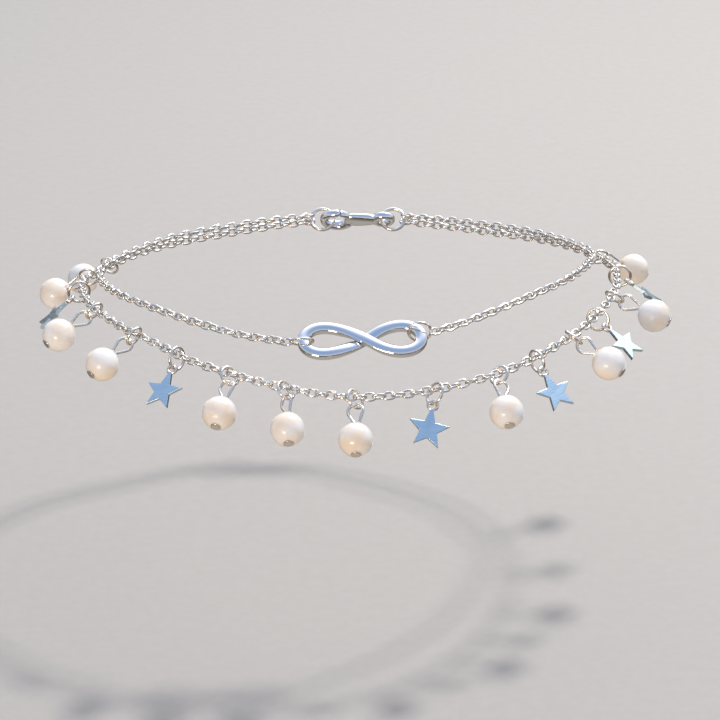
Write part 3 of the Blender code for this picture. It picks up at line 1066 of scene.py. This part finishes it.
@dataclass(frozen=True)
class Pearl:
    """Round pearl with a bore along its local Z axis."""

    diameter: float = 4.0 * MM
    bore: float = 0.54 * MM
    flat_radius: float = 0.67 * MM
    rounding: float = 0.05 * MM
    middle_share: float = 0.3
    rim_share: float = 0.06
    arc_points: int = 44
    sides: int = 72

    @property
    def flat_height(self) -> float:
        """Height of the flat round each end of the bore."""
        return math.sqrt((self.diameter / 2) ** 2 - self.flat_radius ** 2)

    def profile(self) -> Array:
        """Closed profile: the ball's arc, and at each end a ground flat down into the bore.

        Returns:
            A row for each point: distance from the axis, then height.
        """
        bore, top, soft = self.bore / 2, self.flat_height, self.rounding
        edge = math.acos((self.flat_radius + soft) * 2 / self.diameter)
        turns = np.linspace(-edge, edge, self.arc_points)
        ball = self.diameter / 2 * np.stack([np.cos(turns), np.sin(turns)], axis=1)
        # Each rounded edge has a middle point that stands a share of the rounding off its corner
        mid = self.middle_share * soft
        flat = np.array([
            [self.flat_radius + mid, top + self.rim_share * soft], [self.flat_radius - soft, top],
            [bore + soft, top], [bore + mid, top - mid], [bore, top - soft],
        ])
        return np.vstack([ball, flat, (flat * [1, -1])[::-1]])

    def surface(self) -> Array:
        """The profile turned about Z.

        Returns:
            Sides x profile points x 3 coordinates.
        """
        profile = self.profile()
        around = circle(self.sides)
        reach = profile[None, :, :1] * around[:, None, :]
        up = np.broadcast_to(profile[None, :, 1:], (self.sides, len(profile), 1))
        return np.concatenate([reach, up], axis=-1)


@dataclass(frozen=True)
class Headpin:
    """Wire pin in its local XZ plane: a disc, a stem through the pearl and a teardrop loop.

    The head's turns are the degrees at which its rim is sampled, and its powers square the
    reach and the level of that rim. The window is how many points the moving average takes.
    """

    pearl: Pearl
    loop_rise: float
    wire: float = 0.34 * MM
    head_diameter: float = 1.2 * MM
    head_thickness: float = 0.16 * MM
    head_clearance: float = 0.02 * MM
    loop_width: float = 2.15 * MM
    clearance: float = 0.08 * MM
    tip_height: float = 0.12 * MM
    head_turns: tuple[float, ...] = (-90, -89, -86, -80, -70, -55, -35, -12, 12, 35, 55, 70, 80, 86)
    head_powers: tuple[float, float] = (0.55, 0.7)
    head_centre: float = 0.03
    stem_start: float = 1.1
    tip_taper: tuple[float, ...] = (0.95, 0.8, 0.45)
    loop_points: int = 60
    window: int = 7
    sides: int = 12
    step: float = 0.05 * MM

    def line(self) -> Array:
        """Centre line: straight up the bore, round the loop, and down beside the neck.

        Corners are rounded by a moving average over a third of a millimetre.

        Returns:
            Rows of coordinates, with y = 0.
        """
        radius = (self.loop_width - self.wire) / 2
        neck = self.pearl.flat_height + self.clearance
        middle = self.loop_rise - radius
        lean = math.asin(radius / (middle - neck))
        turns = np.linspace(math.pi + lean, -lean, self.loop_points)
        loop = np.stack([radius * np.cos(turns), middle + radius * np.sin(turns)], axis=1)
        floor = -self.pearl.flat_height - self.head_clearance - self.head_thickness
        tip = [self.wire + self.clearance, neck + self.tip_height]
        corners = np.vstack([[0.0, floor], [0.0, neck], loop, tip])
        fine = even_points(corners, int(travelled(corners)[-1] / self.step))
        reach = self.window // 2
        before, after = 2 * fine[0] - fine[reach:0:-1], 2 * fine[-1] - fine[-2:-reach - 2:-1]
        padded = np.vstack([before, fine, after])
        kernel = np.ones(self.window) / self.window
        soft = np.stack([np.convolve(values, kernel, "valid") for values in padded.T], axis=1)
        return np.stack([soft[:, 0], np.zeros(len(soft)), soft[:, 1]], axis=1)

    def surface(self) -> Array:
        """The wire, wide as the head at its foot and rounded off at both ends.

        The head's radius follows a superellipse over its thickness, so its rim is rounded.

        Returns:
            Rows x sides x 3 points.
        """
        line = self.line()
        floor = line[0, 2]
        turns = np.radians(np.array(self.head_turns))
        reach = signed_power(np.cos(turns), self.head_powers[0])
        reach[0] = self.head_centre
        level = 0.5 + 0.5 * signed_power(np.sin(turns), self.head_powers[1])
        head_line = np.stack([0 * level, 0 * level, floor + self.head_thickness * level], axis=1)
        stem = line[line[:, 2] > floor + self.head_thickness * self.stem_start]
        path = np.vstack([head_line, stem])
        radii = np.concatenate([self.head_diameter / 2 * reach, np.full(len(stem), self.wire / 2)])
        radii[-len(self.tip_taper):] *= self.tip_taper
        return flat_tube(path, radii, self.sides)


@dataclass(frozen=True)
class StarPlate:
    """Flat star with a raised round eye on its top point, in its local XY plane."""

    radius: float = 2.49 * MM
    inner_share: float = 0.43
    thickness: float = 0.4 * MM
    eye_diameter: float = 1.36 * MM
    eye_hole: float = 0.76 * MM
    eye_height: float = 2.95 * MM
    eye_rise: float = 0.44 * MM
    eye_wire: float = 0.38 * MM
    neck_width: float = 0.34 * MM
    rim: float = 0.05 * MM
    rim_angle: float = 50.0
    eye_stations: int = 48
    eye_sides: int = 14

    def outline(self) -> Array:
        """The outline, with its top point cut off where it enters the eye's wire.

        Corners lie a tenth of a turn apart, and their reach alternates between the two radii.

        Returns:
            Rows of x and y.
        """
        corner = np.arange(1, 10)
        reach = np.where(corner % 2 == 0, self.radius, self.radius * self.inner_share)
        turn = np.radians(90 + 36 * corner)
        star = np.stack([reach * np.cos(turn), reach * np.sin(turn)], axis=1)
        entry = self.eye_height - (self.eye_diameter + self.eye_hole) / 4
        neck = np.array([[self.neck_width / 2, entry], [-self.neck_width / 2, entry]])
        return np.vstack([star, neck])

    def plate(self, name: str, placed: Array) -> Mesh:
        """The plate: its outline as both faces, with a wall between them.

        Args:
            name: Name of the mesh.
            placed: Placement in the frame.

        Returns:
            The mesh, with the plate's own coordinates in millimetres as its UV map.
        """
        outline = self.outline()
        count = len(outline)
        half = np.full((count, 1), self.thickness / 2)
        lifted = np.vstack([np.hstack([outline, half]), np.hstack([outline, -half])])
        ring = np.arange(count)
        after = (ring + 1) % count
        wall = np.stack([after, ring, ring + count, after + count], axis=1)
        faces = [ring.tolist(), (ring[::-1] + count).tolist(), *wall.tolist()]
        mesh = bpy.data.meshes.new(name)
        mesh.from_pydata(place(lifted, placed).tolist(), [], faces)
        layer = mesh.uv_layers.new(name="sheet")
        corners = np.empty(len(mesh.loops), np.int32)
        mesh.loops.foreach_get("vertex_index", corners)
        layer.uv.foreach_set("vector", (lifted[corners, :2] / MM).ravel())
        return mesh

    def eye(self) -> Array:
        """The eye: a torus round the hole, with an oval section that stands proud of the plate.

        Returns:
            Stations x sides x 3 points.
        """
        halves = self.eye_wire / 2, self.eye_rise / 2
        radius = (self.eye_diameter + self.eye_hole) / 4
        return oval_torus(radius, halves, self.eye_stations, self.eye_sides) + [0, self.eye_height, 0]

    def build(self, mark: str, placed: Array, sheet: Material, wire: Material) -> None:
        """Make one star with its rim rounded, and its eye, both standing for its node.

        Args:
            mark: Its two digits.
            placed: Placement of the plate.
            sheet: Finish of the plate.
            wire: Finish of the wire pieces.
        """
        name, node = f"star_charm_{mark}", f"star_{mark}"
        piece = add_piece(name, self.plate(name, placed), sheet, Slot.SATIN, node)
        rim = piece.modifiers.new("rim", "BEVEL")
        rim.width, rim.segments = self.rim, 2
        rim.limit_method, rim.angle_limit = "ANGLE", math.radians(self.rim_angle)
        rim.harden_normals = True
        add_surface(f"star_eye_{mark}", place(self.eye(), placed), wire, Slot.POLISHED, node)


@dataclass(frozen=True)
class Charm:
    """One charm on the lower strand.

    Lean is its swing along the strand, twist turns its ring, and turn turns the charm about
    the line on which it hangs.
    """

    kind: CharmKind
    azimuth: float
    lean: float
    twist: float
    turn: float


PEARL, STAR = CharmKind.PEARL, CharmKind.STAR
CHARMS = (
    Charm(PEARL, -118.0, -6.0, 20.0, -50.0), Charm(PEARL, -108.5, 6.0, 24.0, -44.0),
    Charm(STAR, -95.0, 0.0, 14.0, 0.0), Charm(PEARL, -75.5, 12.0, 36.0, -50.0),
    Charm(PEARL, -54.6, 6.0, 24.0, -60.0), Charm(STAR, -40.0, 13.0, -6.0, 0.0),
    Charm(PEARL, -26.2, 16.0, -46.0, 72.0), Charm(PEARL, -14.2, 24.0, -46.0, 44.0),
    Charm(PEARL, -0.9, 4.0, -46.0, 72.0), Charm(STAR, 14.4, -21.0, 32.0, 0.0),
    Charm(PEARL, 28.2, -24.0, 46.0, -74.0), Charm(STAR, 38.0, -4.0, 0.0, 0.0),
    Charm(PEARL, 51.2, -3.0, -46.0, 38.0), Charm(STAR, 63.8, -3.0, 14.0, 0.0),
    Charm(PEARL, 79.0, -8.0, -46.0, 28.0), Charm(STAR, 98.0, 0.0, -10.0, 0.0),
    Charm(PEARL, 118.0, -6.0, -40.0, 30.0),
)


@dataclass(frozen=True)
class CharmRow:
    """Every charm with its ring."""

    drape: Drape
    chain_diameter: float = 1.0 * MM
    seat: float = 0.1 * MM
    pearl_ring: JumpRing = JumpRing(2.6 * MM, 0.33 * MM)
    star_ring: JumpRing = JumpRing(2.95 * MM, 0.33 * MM)
    pearl: Pearl = Pearl()
    star: StarPlate = StarPlate()
    pin_wire: float = 0.34 * MM
    loop_length: float = 2.8 * MM
    loop_clearance: float = 0.08 * MM
    eye_clearance: float = 0.06 * MM
    pearl_stand_off: float = 2.5 * MM
    star_stand_off: float = 0.6 * MM
    ring_seam: float = 35.0

    def hold(self, ring: JumpRing) -> float:
        """Height of a ring's top above the strand's axis."""
        return ring.wire / 2 + self.chain_diameter / 2 + self.seat

    def foot(self, ring: JumpRing) -> float:
        """Depth of a ring's lowest wire below the strand's axis."""
        return 2 * ring.radius - self.hold(ring)

    @property
    def loop_top(self) -> float:
        """Depth of the pin loop's top below the strand's axis."""
        ring = self.pearl_ring
        return self.foot(ring) - ring.wire / 2 - self.pin_wire / 2 - self.loop_clearance

    @property
    def pearl_drop(self) -> float:
        """Depth of a pearl's centre."""
        return self.loop_top - self.pin_wire / 2 + self.loop_length + self.pearl.diameter / 2

    @property
    def star_drop(self) -> float:
        """Depth of a star's centre."""
        ring = self.star_ring
        eye = self.foot(ring) - ring.wire / 2 - self.eye_clearance + self.star.eye_hole / 2
        return eye + self.star.eye_height

    def directions(self, strand: Array, charm: Charm) -> tuple[Array, Array, Array]:
        """Where a charm hangs, the strand's direction there, and the way it hangs.

        The charm swings from the downhill direction by its lean, and its end is drawn onto the
        drape, grown by the charm's stand-off.

        Args:
            strand: Points along the strand, from left to right.
            charm: The charm.

        Returns:
            The place, and the two directions at length 1.
        """
        turns = self.drape.azimuths(strand)
        first = int(np.flatnonzero(turns <= charm.azimuth).max())
        share = (charm.azimuth - turns[first]) / (turns[first + 1] - turns[first])
        hung = strand[first] + share * (strand[first + 1] - strand[first])
        along = unit(strand[first + 1] - strand[first])
        downhill = unit(np.cross(along, self.drape.normal(hung)))
        downhill = downhill if downhill[2] < 0 else -downhill
        is_pearl = charm.kind is PEARL
        drop = self.pearl_drop if is_pearl else self.star_drop
        stand_off = self.pearl_stand_off if is_pearl else self.star_stand_off
        lean = math.radians(charm.lean)
        reached = hung + drop * (math.cos(lean) * downhill + math.sin(lean) * along)
        return hung, along, unit(self.drape.laid(reached, stand_off) - hung)

    @staticmethod
    def hanging(hung: Array, along: Array, hang: Array, drop: float, turn: float) -> Array:
        """Placement at a depth: Z up the hanging line, Y along the strand, turned about Z.

        Args:
            hung: Where the charm hangs.
            along: The strand's direction.
            hang: The way it hangs.
            drop: Depth of the placement.
            turn: Degrees about the hanging line.

        Returns:
            A 4 x 4 matrix.
        """
        up = -hang
        across = unit(along - along.dot(up) * up)
        placed = axes_at(hung + hang * drop, -np.cross(up, across), across, up)
        return placed @ turn_about("Z", turn)

    def build(self, strand: Array, wire: Material, sheet: Material, nacre: Material) -> None:
        """Make every charm, from rear left to rear right.

        Args:
            strand: Points along the lower strand.
            wire: Finish of the wire pieces.
            sheet: Finish of the stars.
            nacre: Finish of the pearls.
        """
        pin = Headpin(self.pearl, self.pearl_drop - self.loop_top, self.pin_wire).surface()
        flat = turn_about("X", 90.0) @ turn_about("Y", 180.0)
        made = {PEARL: 0, STAR: 0}
        for number, charm in enumerate(CHARMS, start=1):
            line = self.directions(strand, charm)
            made[charm.kind] += 1
            mark = f"{made[charm.kind]:02d}"
            ring = self.pearl_ring if charm.kind is PEARL else self.star_ring
            seat = self.hanging(*line, ring.radius - self.hold(ring), charm.twist)
            name, node = f"charm_jump_ring_{number:02d}", f"charm_ring_{number:02d}"
            ring.build(name, node, seat, wire, self.ring_seam)
            if charm.kind is PEARL:
                placed = self.hanging(*line, self.pearl_drop, charm.turn)
                ball = place(self.pearl.surface(), placed)
                add_surface(f"pearl_bead_{mark}", ball, nacre, Slot.PEARL, f"pearl_{mark}")
                stem = place(pin, placed)
                add_surface(f"headpin_{mark}", stem, wire, Slot.POLISHED, f"pin_{mark}", closed=False)
            else:
                placed = self.hanging(*line, self.star_drop, 90 + charm.turn) @ flat
                self.star.build(mark, placed, sheet, wire)


# Studio


@dataclass(frozen=True)
class Softbox:
    """One soft light: its place, size, strength in watts, tone, and whether it is in the picture."""

    name: str
    place: tuple[float, float, float]
    width: float
    height: float
    watts: float
    tone: str
    seen: bool = True


@dataclass(frozen=True)
class Studio:
    """Pale floor, soft lights, the dome and the camera.

    Dome tones go by height. Nearly up is leant off the vertical, so that it lies along no light.
    """

    floor_level: float = -19.6 * MM
    floor_size: float = 4.0
    floor_tone: str = "#B5ADA3"
    floor_fleck: str = "#ADA59B"
    floor_grain: float = 1.5 * MM
    camera_distance: float = 377.0 * MM
    camera_rise: float = 24.0
    focal_length: float = 150.8
    sensor: float = 36.0
    clip: tuple[float, float] = (0.01, 20.0)
    shift: float = 20.0 / 720.0
    dome_tones: tuple[tuple[float, str], ...] = (
        (0.0, "#C9C1B6"), (0.08, "#BFB6AB"), (0.17, "#938A80"), (0.40, "#70675F"), (0.485, "#322B26"),
        (0.53, "#4A4643"), (0.56, "#EEF0F4"), (0.68, "#E4ECFA"), (0.82, "#B8CEF2"), (1.0, "#A6C1EE"),
    )
    dome_strength: float = 0.76
    glow_from: tuple[float, float, float] = (0.15, 0.70, 0.68)
    glow_tone: str = "#FFFCF7"
    glow_strength: float = 2.2
    glow_power: float = 8.0
    nearly_up: tuple[float, float, float] = (0.0, 0.02, 1.0)
    lights: tuple[Softbox, ...] = (
        Softbox("key_softbox", (0.20, 0.24, 0.42), 0.05, 0.05, 2.1, "#FDFDFF"),
        Softbox("front_fill", (-0.18, -0.44, 0.02), 0.16, 0.09, 0.85, "#FFE2BC", seen=False),
    )

    def build(self) -> None:
        """Make the floor, the lights, the dome and the camera."""
        self.build_floor()
        self.build_lights()
        self.build_dome()
        self.build_camera()
        log.info("studio")

    def build_floor(self) -> None:
        """A plain matte sheet below the bracelet."""
        half = self.floor_size / 2
        corners = np.array([(-1, -1, 0), (1, -1, 0), (1, 1, 0), (-1, 1, 0)]) * [half, half, 1]
        mesh = mesh_from("floor", corners + [0, 0, self.floor_level], [[0, 1, 2, 3]])
        material, tree, shader = new_material("floor_matte_paper")
        grain = add_node(tree, "ShaderNodeTexNoise", {
            "Vector": add_node(tree, "ShaderNodeTexCoord").outputs["Object"],
            "Scale": 1 / self.floor_grain, "Detail": 2.0,
        })
        tone = add_node(tree, "ShaderNodeMix", {
            "Factor": grain.outputs["Fac"], "A": linear(self.floor_tone), "B": linear(self.floor_fleck),
        }, data_type="RGBA")
        set_inputs(tree, shader, {"Base Color": tone.outputs["Result"], "Roughness": 0.85})
        floor = add_object("floor", mesh)
        # The metal shows the dome's ground tones in place of this sheet
        floor.visible_glossy = False
        mesh.materials.append(material)

    def build_lights(self) -> None:
        """Soft area lights that face the bracelet."""
        for box in self.lights:
            data = bpy.data.lights.new(box.name, "AREA")
            data.shape = "RECTANGLE"
            data.size, data.size_y = box.width, box.height
            data.energy = box.watts
            data.color = linear(box.tone)[:3]
            lamp = add_object(box.name, data)
            lamp.visible_camera = box.seen
            back = unit(np.array(box.place))
            side = unit(np.cross(self.nearly_up, back))
            placed = axes_at(np.array(box.place), side, np.cross(back, side), back)
            lamp.matrix_world = placed.T.tolist()

    def build_dome(self) -> None:
        """Soft surroundings for the metal to show.

        The tone follows the height, from 0 straight down to 1 straight up: warm ground, a dark
        horizon at 0.5, haze and cool sky above. A white glow is added, a power of the cosine of
        the angle to its middle.
        """
        world = bpy.data.worlds.new("studio_dome")
        bpy.context.scene.world = world
        world.use_nodes = True
        tree = world.node_tree
        ahead = add_node(tree, "ShaderNodeTexCoord").outputs["Generated"]
        height = add_node(tree, "ShaderNodeSeparateXYZ", {"Vector": ahead}).outputs["Z"]
        level = add_node(tree, "ShaderNodeMath", {0: height, 1: 0.5, 2: 0.5}, operation="MULTIPLY_ADD")
        ramp = add_node(tree, "ShaderNodeValToRGB", {"Fac": level.outputs[0]})
        stops = ramp.color_ramp.elements
        for index, (position, tone) in enumerate(self.dome_tones):
            stop = stops[index] if index < 2 else stops.new(position)
            stop.position, stop.color = position, linear(tone)
        middle = tuple(unit(np.array(self.glow_from)))
        facing = add_node(tree, "ShaderNodeVectorMath", {0: ahead, 1: middle}, operation="DOT_PRODUCT")
        glow = facing.outputs["Value"]
        steps = {"MAXIMUM": 0.0, "POWER": self.glow_power, "MULTIPLY": self.glow_strength}
        for step, value in steps.items():
            glow = add_node(tree, "ShaderNodeMath", {0: glow, 1: value}, operation=step).outputs[0]
        sky = add_node(tree, "ShaderNodeBackground", {
            "Color": ramp.outputs["Color"], "Strength": self.dome_strength,
        })
        light = add_node(tree, "ShaderNodeBackground", {
            "Color": linear(self.glow_tone), "Strength": glow,
        })
        both = add_node(tree, "ShaderNodeAddShader", {0: sky.outputs[0], 1: light.outputs[0]})
        set_inputs(tree, tree.nodes["World Output"], {"Surface": both.outputs[0]})

    def build_camera(self) -> None:
        """A long lens from the front, raised as in the photograph."""
        data = bpy.data.cameras.new("camera")
        data.lens, data.sensor_width, data.shift_y = self.focal_length, self.sensor, self.shift
        data.clip_start, data.clip_end = self.clip
        rise = math.radians(self.camera_rise)
        back = np.array([0.0, -math.cos(rise), math.sin(rise)])
        side = np.array([1.0, 0.0, 0.0])
        camera = add_object("camera", data)
        placed = axes_at(back * self.camera_distance, side, np.cross(back, side), back)
        camera.matrix_world = placed.T.tolist()
        bpy.context.scene.camera = camera


def set_contrast() -> None:
    """Show plain sRGB tones, so that highlights on the silver stay white."""
    bpy.context.scene.view_settings.view_transform = "Standard"


def main() -> None:
    """Build every sub-assembly in order, then the studio."""
    logging.basicConfig(level=logging.INFO, format="%(name)s: %(message)s")
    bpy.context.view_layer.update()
    drape = Drape()
    cast, wire = CAST_SILVER.material(), WIRE_SILVER.material()
    # The stars' sheet finish has a painted blue sky reflection in its tones
    links, sheet, nacre = CHAIN_SILVER.material(), SKY_TINTED_SHEET_SILVER.material(), NacreFinish().material()
    connector = InfinityConnector(drape)
    connector.build(cast, wire)
    clasp = Clasp(drape)
    clasp.build(cast, wire)
    strand = Strands().build(CableChain(drape), connector.chain_starts(), clasp, links)
    CharmRow(drape).build(strand, wire, sheet, nacre)
    Studio().build()
    set_contrast()


if __name__ == "__main__":
    main()
